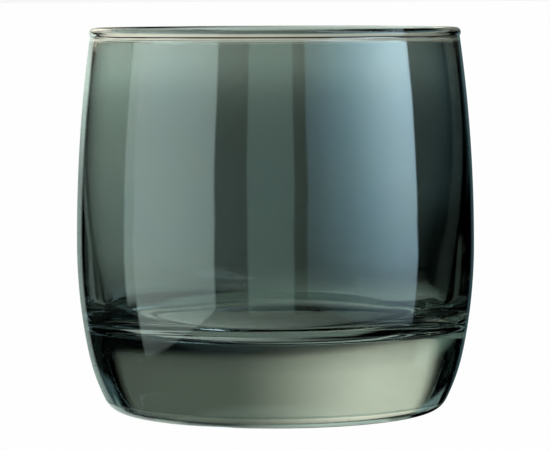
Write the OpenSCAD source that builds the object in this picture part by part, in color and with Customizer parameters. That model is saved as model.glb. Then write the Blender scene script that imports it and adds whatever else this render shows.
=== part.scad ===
// Barrel-shaped whiskey tumbler. It is one piece of pressed glass with a rounded rim bead and a heavy
// base, and a thin smoke-grey lustre film on the outside of its wall.
// Millimetres. The origin is the centre of the foot and +Z points up through the mouth.

/* [Outside] */
// Height from the foot to the top of the rim
height = 82.8; // [81.5:0.1:84]
// Largest outside diameter, at the belly
belly_d = 86; // [84.5:0.1:88]
// Height of the belly above the foot
belly_z = 36; // [35:0.1:37.5]
// Radius of the wall's curve above the belly
upper_curve = 325; // [300:5:360]
// Radius of the wall's curve below the belly
lower_curve = 115; // [110:1:120]
// Angle below the belly at which the wall starts to tuck in
tuck_angle = 11.7; // [11:0.1:12.5]
// Radius of the tuck towards the heel
tuck_curve = 41; // [38:1:44]
// Radius of the heel, where the wall turns under
heel_curve = 4.5; // [4:0.1:5]

/* [Rim] */
// Thickness of the fire-polished bead round the mouth
bead_d = 2.3; // [2.1:0.1:2.6]
// How far the bead stands proud of the wall's outer curve at the rim
bead_proud = 0.5; // [0.3:0.1:0.7]

/* [Inside] */
// Thickness of the wall where the inside is widest
wall = 1.8; // [1.6:0.05:2.1]
// Height above the foot at which the inside is widest
cavity_z = 53; // [51:0.5:54]
// Radius of the inside curve above its widest point
cavity_upper_curve = 165; // [155:5:175]
// Radius of the inside curve below its widest point
cavity_lower_curve = 140; // [132:1:148]
// Thickness of the base, from the foot to the inside floor
base_thickness = 18.1; // [16:0.1:19]
// Radius of the curve between the inside floor and the wall
floor_curve = 9; // [8:0.1:10]

/* [Underside] */
// Inner radius of the flat ring that the tumbler stands on
foot_inner_r = 28.5; // [26:0.1:30]
// Depth of the recess inside that ring, and radius of its rounded edge
recess = 1.2; // [0.8:0.1:1.6]

/* [Lustre film] */
// Thickness of the film, far more than a real one so that it is a solid
film = 0.1; // [0.08:0.01:0.2]
// Height of the film's lower edge, on the heel
film_low = 3; // [2.8:0.1:6]
// Distance from the top of the rim down to the film's upper edge
film_below_rim = 2.1; // [2.1:0.1:5]

/* [Hidden] */
$fn = 360;

belly_r = belly_d / 2;
// Past the largest radius and past the rim, for strips that have to reach beyond the glass
beyond = belly_r + 5;

// The outside is four arcs in tangent contact. Each centre is [radius from the axis, height].
upper_centre = [belly_r - upper_curve, belly_z];
lower_centre = [belly_r - lower_curve, belly_z];
tuck_centre = lower_centre + (lower_curve - tuck_curve) * [cos(tuck_angle), -sin(tuck_angle)];
// The heel starts where its own arc, carried on from the tuck, just reaches the foot's plane
heel_angle = asin((tuck_centre[1] - heel_curve) / (tuck_curve - heel_curve));
heel_centre = tuck_centre + (tuck_curve - heel_curve) * [cos(heel_angle), -sin(heel_angle)];

// The bead is a round edge whose outside stands proud of the wall's curve carried on to the rim
rim_wall_r = upper_centre[0] + sqrt(pow(upper_curve, 2) - pow(height - belly_z, 2));
bead_centre = [rim_wall_r + bead_proud - bead_d / 2, height - bead_d / 2];

// The inside is two barrel arcs and the floor's curve, in tangent contact
wall_r_at_cavity = upper_centre[0] + sqrt(pow(upper_curve, 2) - pow(cavity_z - belly_z, 2));
cavity_r = to_micrometre(wall_r_at_cavity - wall);
cavity_upper_centre = [cavity_r - cavity_upper_curve, cavity_z];
cavity_lower_centre = [cavity_r - cavity_lower_curve, cavity_z];
floor_centre_z = base_thickness + floor_curve;
floor_angle = asin((cavity_z - floor_centre_z) / (cavity_lower_curve - floor_curve));
floor_centre = cavity_lower_centre
    + (cavity_lower_curve - floor_curve) * [cos(floor_angle), -sin(floor_angle)];

// Heights where two arcs meet are rounded to a micrometre, so that the strips on either side of one
// share the same edge
function to_micrometre(length) = round(length * 1000) / 1000;

// Horizontal strip of the half-plane right of the axis
module strip(low, high) {
    translate([0, low]) square([beyond, high - low]);
}

// The part of a disc that lies in a strip, filled in from the axis to the disc's centre
module arc_band(centre, radius, low, high) {
    intersection() {
        translate(centre) circle(r = radius);
        strip(low, high);
    }
    if (centre[0] > 0) translate([0, low]) square([centre[0], high - low]);
}

// Half section of the outside, drawn solid, with every surface moved inwards by inset
module outside(inset = 0) {
    tuck_low = to_micrometre(heel_centre[1] - (heel_curve - inset) * sin(heel_angle));
    tuck_high = to_micrometre(tuck_centre[1] - (tuck_curve - inset) * sin(tuck_angle));
    arc_band(heel_centre, heel_curve - inset, inset, tuck_low);
    arc_band(tuck_centre, tuck_curve - inset, tuck_low, tuck_high);
    arc_band(lower_centre, lower_curve - inset, tuck_high, belly_z);
    arc_band(upper_centre, upper_curve - inset, belly_z, bead_centre[1]);
}

// Half section of the drinking space, carried on past the rim
module cavity() {
    floor_high = to_micrometre(floor_centre[1] - floor_curve * sin(floor_angle));
    arc_band(floor_centre, floor_curve, base_thickness, floor_high);
    arc_band(cavity_lower_centre, cavity_lower_curve, floor_high, cavity_z);
    arc_band(cavity_upper_centre, cavity_upper_curve, cavity_z, height + beyond);
}

// Half section of the shallow recess under the base
module underside_recess() {
    arc_band([foot_inner_r - recess, 0], recess, 0, recess);
}

// Round edge of the rim
module bead() {
    translate(bead_centre) circle(d = bead_d);
}

// Half section of the film: the outermost layer between its two edges, and never inside the bead
module film_section() {
    difference() {
        intersection() {
            outside();
            strip(film_low, height - film_below_rim);
        }
        outside(film);
        bead();
    }
}

module glass_body() {
    color([0.78, 0.83, 0.78])
        rotate_extrude() {
            difference() {
                outside();
                cavity();
                underside_recess();
                film_section();
            }
            bead();
        }
}

module lustre_coat() {
    color([0.36, 0.43, 0.42]) rotate_extrude() film_section();
}

glass_body();
lustre_coat();
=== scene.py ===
"""Whiskey tumbler: a barrel-shaped glass with a smoke-grey lustre film outside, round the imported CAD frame.

Metres, +Z up, in the CAD frame: the origin is the centre of the foot, and the camera looks along +Y.
The glass and its film are turned on a lathe from arcs, so that they bend light as smoothly as pressed
glass does. The light is a studio drawn in the world by direction: panels, a graded backdrop and flags.
"""
import math

import bmesh
import bpy
from mathutils import Matrix, Vector


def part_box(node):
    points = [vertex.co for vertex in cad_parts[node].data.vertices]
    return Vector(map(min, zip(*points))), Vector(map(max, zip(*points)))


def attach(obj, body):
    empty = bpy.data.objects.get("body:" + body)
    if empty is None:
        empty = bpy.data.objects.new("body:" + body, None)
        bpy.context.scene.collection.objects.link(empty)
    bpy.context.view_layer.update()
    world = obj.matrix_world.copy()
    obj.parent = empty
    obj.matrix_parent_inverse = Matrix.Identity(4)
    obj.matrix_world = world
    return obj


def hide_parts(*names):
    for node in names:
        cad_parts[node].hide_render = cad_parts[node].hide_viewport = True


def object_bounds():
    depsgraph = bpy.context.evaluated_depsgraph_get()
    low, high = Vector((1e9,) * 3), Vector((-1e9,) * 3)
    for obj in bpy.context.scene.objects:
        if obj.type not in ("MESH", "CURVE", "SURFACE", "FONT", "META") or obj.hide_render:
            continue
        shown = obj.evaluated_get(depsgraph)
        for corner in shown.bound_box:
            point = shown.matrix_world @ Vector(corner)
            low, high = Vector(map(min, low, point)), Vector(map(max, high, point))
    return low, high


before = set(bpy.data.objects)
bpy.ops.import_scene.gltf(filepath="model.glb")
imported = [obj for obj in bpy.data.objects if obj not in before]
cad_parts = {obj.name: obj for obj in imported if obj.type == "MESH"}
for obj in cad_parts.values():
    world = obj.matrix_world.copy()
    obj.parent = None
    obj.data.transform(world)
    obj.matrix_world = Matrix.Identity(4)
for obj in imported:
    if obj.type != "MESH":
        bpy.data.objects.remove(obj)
cad_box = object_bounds()

MM = 0.001

# ---------------------------------------------------------------- sizes, from the frame and the design

film_low_corner, film_high_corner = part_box("lustre_coat")
BELLY_R = film_high_corner.x
HEIGHT = cad_box[1].z
FILM_TOP = film_high_corner.z
FILM_FOOT = film_low_corner.z

BELLY_Z = 36.0 * MM
UPPER_CURVE = 325.0 * MM
LOWER_CURVE = 115.0 * MM
TUCK_ANGLE = math.radians(11.7)
TUCK_CURVE = 41.0 * MM
HEEL_CURVE = 4.5 * MM
FOOT_INNER_R = 28.5 * MM
RECESS = 1.2 * MM

WALL = 1.8 * MM
CAVITY_Z = 53.0 * MM
CAVITY_UPPER_CURVE = 165.0 * MM
CAVITY_LOWER_CURVE = 140.0 * MM
BASE_THICKNESS = 18.1 * MM
FLOOR_CURVE = 9.0 * MM

BEAD_R = 1.15 * MM
BEAD_PROUD = 0.5 * MM
# Heights over which the bead flares out of the wall, inside and outside
INNER_FLARE = 1.3 * MM
OUTER_FLARE = 0.85 * MM

# The film is a closed skin this thick, and it stands this far off the glass so that they never touch
FILM_SKIN = 0.02 * MM
FILM_GAP = 0.01 * MM
SEGMENTS = 256


# ---------------------------------------------------------------- outlines as arcs

def arc(centre, radius, start, end, step):
    """Points (r, z) on an arc from angle start to angle end, about step apart along it."""
    count = max(2, math.ceil(abs(end - start) * radius / step))
    angles = [start + (end - start) * i / count for i in range(count + 1)]
    return [(centre[0] + radius * math.cos(a), centre[1] + radius * math.sin(a)) for a in angles]


def curve_r(centre, radius, z):
    """Radius from the axis of an arc's outer side at height z."""
    return centre[0] + math.sqrt(radius ** 2 - (z - centre[1]) ** 2)


def smooth(t):
    """Eases from 0 to 1 with no slope at either end."""
    t = min(max(t, 0.0), 1.0)
    return t * t * (3.0 - 2.0 * t)


def next_centre(centre, radius, new_radius, angle):
    """Centre of the arc that carries on from this one at angle below the horizontal."""
    reach = radius - new_radius
    return (centre[0] + reach * math.cos(angle), centre[1] - reach * math.sin(angle))


UPPER = (BELLY_R - UPPER_CURVE, BELLY_Z)
LOWER = (BELLY_R - LOWER_CURVE, BELLY_Z)
TUCK = next_centre(LOWER, LOWER_CURVE, TUCK_CURVE, TUCK_ANGLE)
HEEL_ANGLE = math.asin((TUCK[1] - HEEL_CURVE) / (TUCK_CURVE - HEEL_CURVE))
HEEL = next_centre(TUCK, TUCK_CURVE, HEEL_CURVE, HEEL_ANGLE)

CAVITY_R = curve_r(UPPER, UPPER_CURVE, CAVITY_Z) - WALL
CAVITY_UPPER = (CAVITY_R - CAVITY_UPPER_CURVE, CAVITY_Z)
CAVITY_LOWER = (CAVITY_R - CAVITY_LOWER_CURVE, CAVITY_Z)
FLOOR_ANGLE = math.asin((CAVITY_Z - BASE_THICKNESS - FLOOR_CURVE) / (CAVITY_LOWER_CURVE - FLOOR_CURVE))
FLOOR = next_centre(CAVITY_LOWER, CAVITY_LOWER_CURVE, FLOOR_CURVE, FLOOR_ANGLE)

BEAD = (curve_r(UPPER, UPPER_CURVE, HEIGHT) + BEAD_PROUD - BEAD_R, HEIGHT - BEAD_R)


def outer_side(inset, top, foot):
    """Outside of the wall from height top down to height foot, moved inwards by inset."""
    upper_start = math.asin((top - BELLY_Z) / (UPPER_CURVE - inset))
    points = arc(UPPER, UPPER_CURVE - inset, upper_start, 0.0, 0.8 * MM)
    points += arc(LOWER, LOWER_CURVE - inset, 0.0, -TUCK_ANGLE, 0.7 * MM)[1:]
    points += arc(TUCK, TUCK_CURVE - inset, -TUCK_ANGLE, -HEEL_ANGLE, 0.5 * MM)[1:]
    heel_end = -math.asin((HEEL[1] - foot) / (HEEL_CURVE - inset)) if foot > inset else -math.pi / 2
    points += arc(HEEL, HEEL_CURVE - inset, -HEEL_ANGLE, heel_end, 0.25 * MM)[1:]
    return points


def bead_flank(wall_centre, wall_radius, equator_r, length, steps=14):
    """Side of the rim from the wall up to the bead's equator, as one smooth flare."""
    flare = equator_r - curve_r(wall_centre, wall_radius, BEAD[1])
    points = []
    for i in range(steps + 1):
        z = BEAD[1] - length * (1 - i / steps)
        points.append((curve_r(wall_centre, wall_radius, z) + flare * smooth(i / steps), z))
    return points


def inside_floor():
    """Flat floor of the drinking space from the axis outwards, with the faint step a plunger leaves."""
    step_r, step_w, step_h = 10.0 * MM, 1.2 * MM, 0.06 * MM
    count = 40
    points = []
    for i in range(count + 1):
        r = FLOOR[0] * i / count
        points.append((r, BASE_THICKNESS - step_h * smooth(0.5 - (r - step_r) / step_w)))
    return points


def glass_outline():
    """Half section of the glass from the middle of its inside floor round to the middle underneath."""
    inset = FILM_SKIN + FILM_GAP
    bead_r = BEAD_R - inset
    cavity_top = math.asin((BEAD[1] - INNER_FLARE - CAVITY_Z) / CAVITY_UPPER_CURVE)
    outline = inside_floor()
    outline += arc(FLOOR, FLOOR_CURVE, -math.pi / 2, -FLOOR_ANGLE, 0.4 * MM)[1:]
    outline += arc(CAVITY_LOWER, CAVITY_LOWER_CURVE, -FLOOR_ANGLE, 0.0, 0.8 * MM)[1:]
    outline += arc(CAVITY_UPPER, CAVITY_UPPER_CURVE, 0.0, cavity_top, 0.8 * MM)[1:]
    outline += bead_flank(CAVITY_UPPER, CAVITY_UPPER_CURVE, BEAD[0] - bead_r, INNER_FLARE)[1:]
    outline += arc(BEAD, bead_r, math.pi, 0.0, 0.12 * MM)[1:]
    outside_start = len(outline)
    outline += bead_flank(UPPER, UPPER_CURVE - inset, BEAD[0] + bead_r, OUTER_FLARE)[::-1][1:]
    outline += outer_side(inset, BEAD[1] - OUTER_FLARE, 0.0)[1:]
    outline += [(FOOT_INNER_R + 1.5 * MM, inset), (FOOT_INNER_R, inset)]
    outline += arc((FOOT_INNER_R - RECESS, inset), RECESS, 0.0, math.pi / 2, 0.15 * MM)[1:]
    underside_r, underside_z = outline[-1]
    outline += [(underside_r * (1 - i / 30), underside_z) for i in range(1, 31)]
    return outline, outside_start


# ---------------------------------------------------------------- lathe

def lathe(name, outline, closed, filmed_from=None):
    """Turns an outline round Z. A closed outline is a ring; an open one starts and ends on the axis.
    From the point number filmed_from on, the stretches that the film covers get the second slot."""
    mesh = bmesh.new()
    columns = []
    on_axis = 1e-7
    poles = {}
    for i, (r, z) in enumerate(outline):
        if r < on_axis:
            poles[i] = mesh.verts.new((0.0, 0.0, z))
            columns.append(None)
            continue
        ring = []
        for k in range(SEGMENTS):
            a = 2 * math.pi * k / SEGMENTS
            ring.append(mesh.verts.new((r * math.cos(a), r * math.sin(a), z)))
        columns.append(ring)
    last = len(outline)
    for i in range(last if closed else last - 1):
        j = (i + 1) % last
        here, there = columns[i], columns[j]
        filmed = filmed_from is not None and i >= filmed_from and FILM_FOOT < outline[i][1] <= FILM_TOP
        for k in range(SEGMENTS):
            n = (k + 1) % SEGMENTS
            if here is None:
                face = mesh.faces.new((poles[i], there[k], there[n]))
            elif there is None:
                face = mesh.faces.new((here[k], poles[j], here[n]))
            else:
                face = mesh.faces.new((here[k], there[k], there[n], here[n]))
            face.material_index = 1 if filmed else 0
    bmesh.ops.recalc_face_normals(mesh, faces=mesh.faces)
    for face in mesh.faces:
        face.smooth = True
    data = bpy.data.meshes.new(name)
    mesh.to_mesh(data)
    mesh.free()
    piece = bpy.data.objects.new(name, data)
    bpy.context.collection.objects.link(piece)
    return piece


# ---------------------------------------------------------------- materials

def new_material(name):
    material = bpy.data.materials.new(name)
    material.use_nodes = True
    material.node_tree.nodes.clear()
    return material, material.node_tree


def add(tree, kind, **values):
    """Adds a node. A value for an input is given by its name with _ for a space, or set on the node."""
    node = tree.nodes.new(kind)
    for key, value in values.items():
        socket = node.inputs.get(key.replace("_", " "))
        if socket is not None:
            socket.default_value = value
        else:
            setattr(node, key, value)
    return node


def ramp(tree, factor, stops):
    """Colour ramp over factor, with stops (position, colour)."""
    node = tree.nodes.new("ShaderNodeValToRGB")
    elements = node.color_ramp.elements
    while len(elements) < len(stops):
        elements.new(0.5)
    for element, (position, colour) in zip(elements, stops):
        element.position = position
        element.color = (*colour, 1.0)
    tree.links.new(factor, node.inputs["Fac"])
    return node.outputs["Color"]


def height_factor(tree):
    """Height as 0 at the foot and 1 at the top of the rim, and the place on the object."""
    place = tree.nodes.new("ShaderNodeTexCoord")
    split = tree.nodes.new("ShaderNodeSeparateXYZ")
    tree.links.new(place.outputs["Object"], split.inputs[0])
    scale = add(tree, "ShaderNodeMath", operation="DIVIDE")
    scale.inputs[1].default_value = HEIGHT
    tree.links.new(split.outputs["Z"], scale.inputs[0])
    return scale.outputs[0], place.outputs["Object"]


def clouds(tree, place, scale):
    """Soft noise over the object, with this many patches to the metre."""
    noise = add(tree, "ShaderNodeTexNoise", Scale=scale, Detail=2.0, Roughness=0.5)
    tree.links.new(place, noise.inputs["Vector"])
    return noise.outputs[0]


def grey(level):
    return (level, level, level)


def floor_ripple(tree, height, place):
    """Normal of the glass with the faint ripples of a pressed floor, at the inside floor's height only."""
    flat = BASE_THICKNESS / HEIGHT
    strength = ramp(tree, height, [
        (flat - 0.01, grey(0.0)),
        (flat - 0.004, grey(1.0)),
        (flat + 0.001, grey(1.0)),
        (flat + 0.004, grey(0.0)),
    ])
    ripple = add(tree, "ShaderNodeBump", Distance=0.08 * MM)
    tree.links.new(strength, ripple.inputs["Strength"])
    tree.links.new(clouds(tree, place, 120.0), ripple.inputs["Height"])
    return ripple.outputs[0]


def soaked_up(tree, surface, height, stopped):
    """The surface with a share of its light soaked up by the film on it. The share is smaller towards the
    base and a little smaller towards the rim."""
    share = ramp(tree, height, [
        (12 * MM / HEIGHT, grey(stopped / 4)),
        (22 * MM / HEIGHT, grey(stopped)),
        (60 * MM / HEIGHT, grey(stopped)),
        (76 * MM / HEIGHT, grey(stopped * 0.7)),
    ])
    soot = add(tree, "ShaderNodeBsdfDiffuse")
    soot.inputs["Color"].default_value = (0.0, 0.0, 0.0, 1.0)
    mix = tree.nodes.new("ShaderNodeMixShader")
    tree.links.new(share, mix.inputs["Fac"])
    tree.links.new(surface, mix.inputs[1])
    tree.links.new(soot.outputs[0], mix.inputs[2])
    return mix.outputs[0]


def glass(name, stopped=0.0):
    """Clear pressed glass. Where stopped is given, a film on it soaks up that share of light at each pass."""
    material, tree = new_material(name)
    shader = add(tree, "ShaderNodeBsdfPrincipled", IOR=1.52, Roughness=0.0)
    shader.inputs["Base Color"].default_value = (0.97, 0.985, 0.97, 1.0)
    shader.inputs["Transmission Weight"].default_value = 1.0
    volume = add(tree, "ShaderNodeVolumeAbsorption", Density=4.0)
    volume.inputs["Color"].default_value = (0.72, 0.90, 0.76, 1.0)
    surface = shader.outputs[0]
    height, place = height_factor(tree)
    if stopped:
        surface = soaked_up(tree, surface, height, stopped)
    else:
        tree.links.new(floor_ripple(tree, height, place), shader.inputs["Normal"])
    out = tree.nodes.new("ShaderNodeOutputMaterial")
    tree.links.new(surface, out.inputs["Surface"])
    tree.links.new(volume.outputs[0], out.inputs["Volume"])
    return material


def smoke_lustre():
    """A see-through metal film: it passes a smoke tint, mirrors a little and is uneven in soft clouds."""
    material, tree = new_material("smoke_lustre")
    height, place = height_factor(tree)
    tint = ramp(tree, height, [
        (0.00, (0.87, 0.90, 0.90)),
        (0.20, (0.87, 0.90, 0.90)),
        (0.45, (0.90, 0.94, 0.94)),
        (0.76, (0.93, 0.96, 0.96)),
        (0.97, (0.99, 0.995, 0.99)),
    ])
    clear = tree.nodes.new("ShaderNodeBsdfTransparent")
    tree.links.new(tint, clear.inputs["Color"])
    metal = add(tree, "ShaderNodeBsdfPrincipled", Metallic=1.0)
    cloud = clouds(tree, place, 45.0)
    tree.links.new(ramp(tree, cloud, [(0.35, (0.86, 0.95, 0.99)), (0.65, (0.94, 0.97, 0.95))]),
                   metal.inputs["Base Color"])
    tree.links.new(ramp(tree, cloud, [(0.3, grey(0.022)), (0.7, grey(0.04))]), metal.inputs["Roughness"])
    ripple = add(tree, "ShaderNodeBump", Strength=1.0, Distance=0.1 * MM)
    tree.links.new(cloud, ripple.inputs["Height"])
    tree.links.new(ripple.outputs[0], metal.inputs["Normal"])
    # The film mirrors 9% of the light up the wall and thins out over the base
    share = tree.nodes.new("ShaderNodeMapRange")
    share.interpolation_type = "SMOOTHSTEP"
    share.inputs["From Min"].default_value = 13 * MM / HEIGHT
    share.inputs["From Max"].default_value = 25 * MM / HEIGHT
    share.inputs["To Min"].default_value = 0.03
    share.inputs["To Max"].default_value = 0.09
    tree.links.new(height, share.inputs["Value"])
    mix = tree.nodes.new("ShaderNodeMixShader")
    tree.links.new(share.outputs["Result"], mix.inputs["Fac"])
    tree.links.new(clear.outputs[0], mix.inputs[1])
    tree.links.new(metal.outputs[0], mix.inputs[2])
    out = tree.nodes.new("ShaderNodeOutputMaterial")
    tree.links.new(mix.outputs[0], out.inputs["Surface"])
    return material


# ---------------------------------------------------------------- pieces

glass_section, outside_start = glass_outline()
body = lathe("glass_body_clear", glass_section, closed=False, filmed_from=outside_start)
body.data.materials.append(glass("clear_glass"))
body.data.materials.append(glass("glass_under_film", 0.5))
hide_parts("glass_body")
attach(body, "root")

skin_out = outer_side(0.0, FILM_TOP, FILM_FOOT)
skin_in = outer_side(FILM_SKIN, FILM_TOP, FILM_FOOT)
film = lathe("lustre_coat_film", skin_out + skin_in[::-1], closed=True)
film.data.materials.append(smoke_lustre())
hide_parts("lustre_coat")
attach(film, "root")


# ---------------------------------------------------------------- studio

def studio_light():
    """World light by direction, as (azimuth from the camera side, elevation), in degrees."""
    world = bpy.data.worlds.new("studio")
    bpy.context.scene.world = world
    world.use_nodes = True
    tree = world.node_tree
    tree.nodes.clear()

    def maths(operation, *values):
        node = tree.nodes.new("ShaderNodeMath")
        node.operation = operation
        for i, value in enumerate(values):
            if isinstance(value, (int, float)):
                node.inputs[i].default_value = value
            else:
                tree.links.new(value, node.inputs[i])
        return node.outputs[0]

    def edge(value, start, end):
        """0 before start and 1 after end, or the other way round where end is less than start."""
        node = tree.nodes.new("ShaderNodeMapRange")
        node.interpolation_type = "SMOOTHSTEP"
        low, high = (start, end) if start < end else (end, start)
        node.inputs["From Min"].default_value = low
        node.inputs["From Max"].default_value = high
        node.inputs["To Min"].default_value = 0.0 if start < end else 1.0
        node.inputs["To Max"].default_value = 1.0 if start < end else 0.0
        tree.links.new(value, node.inputs["Value"])
        return node.outputs["Result"]

    def window(value, low, high, soft):
        return maths("MULTIPLY", edge(value, low - soft, low + soft), edge(value, high + soft, high - soft))

    def coloured(value, colour):
        node = tree.nodes.new("ShaderNodeVectorMath")
        node.operation = "SCALE"
        node.inputs[0].default_value = colour
        tree.links.new(value, node.inputs["Scale"])
        return node.outputs[0]

    def total(*vectors):
        result = vectors[0]
        for vector in vectors[1:]:
            node = tree.nodes.new("ShaderNodeVectorMath")
            node.operation = "ADD"
            tree.links.new(result, node.inputs[0])
            tree.links.new(vector, node.inputs[1])
            result = node.outputs[0]
        return result

    place = tree.nodes.new("ShaderNodeTexCoord")
    split = tree.nodes.new("ShaderNodeSeparateXYZ")
    tree.links.new(place.outputs["Generated"], split.inputs[0])
    x, y, z = split.outputs
    degrees = 180 / math.pi
    azimuth = maths("MULTIPLY", maths("ARCTAN2", x, maths("MULTIPLY", y, -1.0)), degrees)
    elevation = maths("MULTIPLY", maths("ARCSINE", z), degrees)

    def panel(colour, azimuths, elevations, soft=(1.0, 3.0), across=None, upward=None, facing=None):
        """Light between two azimuths and two elevations. across and upward grade it: (dim end, bright end).
        A flat softbox that faces the glass at azimuth facing has its level edges drawn in perspective."""
        up = elevation
        if facing is not None:
            turned = maths("COSINE", maths("DIVIDE", maths("SUBTRACT", azimuth, facing), degrees))
            up = maths("DIVIDE", elevation, turned)
        level = maths("MULTIPLY", window(azimuth, *azimuths, soft[0]), window(up, *elevations, soft[1]))
        if across:
            level = maths("MULTIPLY", level, edge(azimuth, *across))
        if upward:
            level = maths("MULTIPLY", level, edge(elevation, *upward))
        return coloured(level, colour)

    # Behind the glass, azimuth is counted from straight back, to the right of the picture
    behind = maths("MULTIPLY", maths("ARCTAN2", x, y), degrees)

    # Azimuth where the bowed lower edge of the backdrop is lowest
    lowest_at = -6.0

    def backdrop(colour, azimuths, elevations, soft, across=None, sag=0.0):
        """Light from behind. sag bows its level edges up to the sides, by sag for each squared degree."""
        aside = maths("SUBTRACT", behind, lowest_at)
        up = maths("SUBTRACT", elevation, maths("MULTIPLY", maths("MULTIPLY", aside, aside), sag))
        level = maths("MULTIPLY", window(behind, *azimuths, soft[0]), window(up, *elevations, soft[1]))
        if across:
            level = maths("MULTIPLY", level, edge(behind, *across))
        return coloured(level, colour)

    light = total(
        # Window on the left that the near wall mirrors, with a strip and a dimmer wall beyond it
        panel((1.12, 1.33, 1.24), (-89, -35), (-22, 34), (1.0, 0.5), across=(90, -110), upward=(-40, 0),
              facing=-80),
        panel((1.05, 1.28, 1.16), (-97, -89), (-12, 30), (1.0, 1.0), upward=(-60, 20)),
        panel((0.60, 0.79, 0.65), (-145, -97), (-14, 9.5), (1.0, 1.5), across=(-160, -115), upward=(-14, 10)),
        # Window on the right, blue over its whole width and warmer to its far side
        panel((0.97, 1.56, 1.84), (18, 89), (-18, 34), (1.0, 1.0), across=(-6, 84), upward=(-26, 15),
              facing=60),
        panel((0.99, 1.06, 1.15), (18, 89), (-18, 34), (1.0, 1.0), across=(37, 90), upward=(-26, 15),
              facing=60),
        # Dim strip between the windows, and a high light on the right
        panel((0.19, 0.28, 0.25), (-16, 10.5), (-16.5, 30), (1.0, 1.0)),
        panel((1.6, 2.0, 2.3), (45, 80), (38, 80), (3, 3)),
        # Low backdrop seen through the wall, cooler on the right and brighter at eye level
        backdrop((0.80, 0.92, 0.84), (-28, 8), (-52, 3), (3, 1.5), across=(14, -14)),
        backdrop((0.12, 0.20, 0.22), (4, 22), (-12, 3), (4, 3)),
        backdrop((0.44, 0.53, 0.48), (-28, 12), (-1.5, 3.2), (3, 1.2), across=(14, -14)),
        # High backdrop that the base throws up into view, with a warm glow on its left
        backdrop((0.22, 0.235, 0.19), (-50, 46), (4.3, 26), (4, 0.7), sag=0.0018),
        backdrop((1.24, 1.13, 0.94), (-45, 20), (4.3, 26), (5, 0.7), across=(10, -24), sag=0.0018),
        # Patches at the sides that the base's corners and the heel pick up
        backdrop((0.16, 0.26, 0.28), (56, 76), (18, 32), (3, 2)),
        backdrop((0.50, 0.66, 0.66), (-70, -46), (23, 36), (4, 1.5)),
        backdrop((0.50, 0.60, 0.50), (-38, -26), (-27, -21.5), (2, 1)),
        backdrop((0.25, 0.30, 0.24), (22, 32), (-27, -19), (2, 1)),
        # Glow from the table, straight below
        coloured(edge(elevation, -48, -56), (0.35, 0.45, 0.38)),
    )
    seen = add(tree, "ShaderNodeBackground", Strength=1.0)
    seen.inputs["Color"].default_value = (0.92, 0.92, 0.92, 1.0)
    shone = add(tree, "ShaderNodeBackground", Strength=1.0)
    tree.links.new(light, shone.inputs["Color"])
    path = tree.nodes.new("ShaderNodeLightPath")
    mix = tree.nodes.new("ShaderNodeMixShader")
    tree.links.new(path.outputs["Is Camera Ray"], mix.inputs["Fac"])
    tree.links.new(shone.outputs[0], mix.inputs[1])
    tree.links.new(seen.outputs[0], mix.inputs[2])
    out = tree.nodes.new("ShaderNodeOutputWorld")
    tree.links.new(mix.outputs[0], out.inputs["Surface"])


def pale_floor():
    """Evenly lit white table that only the camera sees, so that the glass takes its light from the studio."""
    size = 40.0
    mesh = bmesh.new()
    corners = [mesh.verts.new((sx * size, sy * size, 0.0)) for sx, sy in ((-1, -1), (1, -1), (1, 1), (-1, 1))]
    mesh.faces.new(corners)
    data = bpy.data.meshes.new("pale_floor")
    mesh.to_mesh(data)
    mesh.free()
    floor = bpy.data.objects.new("pale_floor", data)
    bpy.context.collection.objects.link(floor)
    material, tree = new_material("pale_table")
    glow = add(tree, "ShaderNodeEmission", Strength=1.0)
    glow.inputs["Color"].default_value = (0.99, 0.99, 0.99, 1.0)
    out = tree.nodes.new("ShaderNodeOutputMaterial")
    tree.links.new(glow.outputs[0], out.inputs["Surface"])
    data.materials.append(material)
    floor.visible_glossy = False
    floor.visible_transmission = False
    floor.visible_diffuse = False


def photo_camera():
    """Long lens, its eye a little above the rim, with the slight tilt that a tripod has."""
    distance, eye_height = 0.7, 0.0898
    aim_side, aim_height = -0.0001, 0.0400
    tilt = -0.0031
    data = bpy.data.cameras.new("camera")
    data.lens = 211.9
    data.clip_start, data.clip_end = 0.05, 100.0
    camera = bpy.data.objects.new("camera", data)
    bpy.context.collection.objects.link(camera)
    camera.location = (0.0, -distance, eye_height)
    look = (Vector((aim_side, 0.0, aim_height)) - camera.location).to_track_quat("-Z", "Y")
    roll = Matrix.Rotation(tilt, 4, "Z")
    camera.rotation_euler = (look.to_matrix().to_4x4() @ roll).to_euler()
    bpy.context.scene.camera = camera


studio_light()
pale_floor()
photo_camera()

scene = bpy.context.scene
scene.view_settings.view_transform = "Standard"
# Enough bounces for light to cross both walls and to be carried round inside the glass
scene.cycles.max_bounces = 24
scene.cycles.transmission_bounces = 24
scene.cycles.glossy_bounces = 16
scene.cycles.transparent_max_bounces = 48
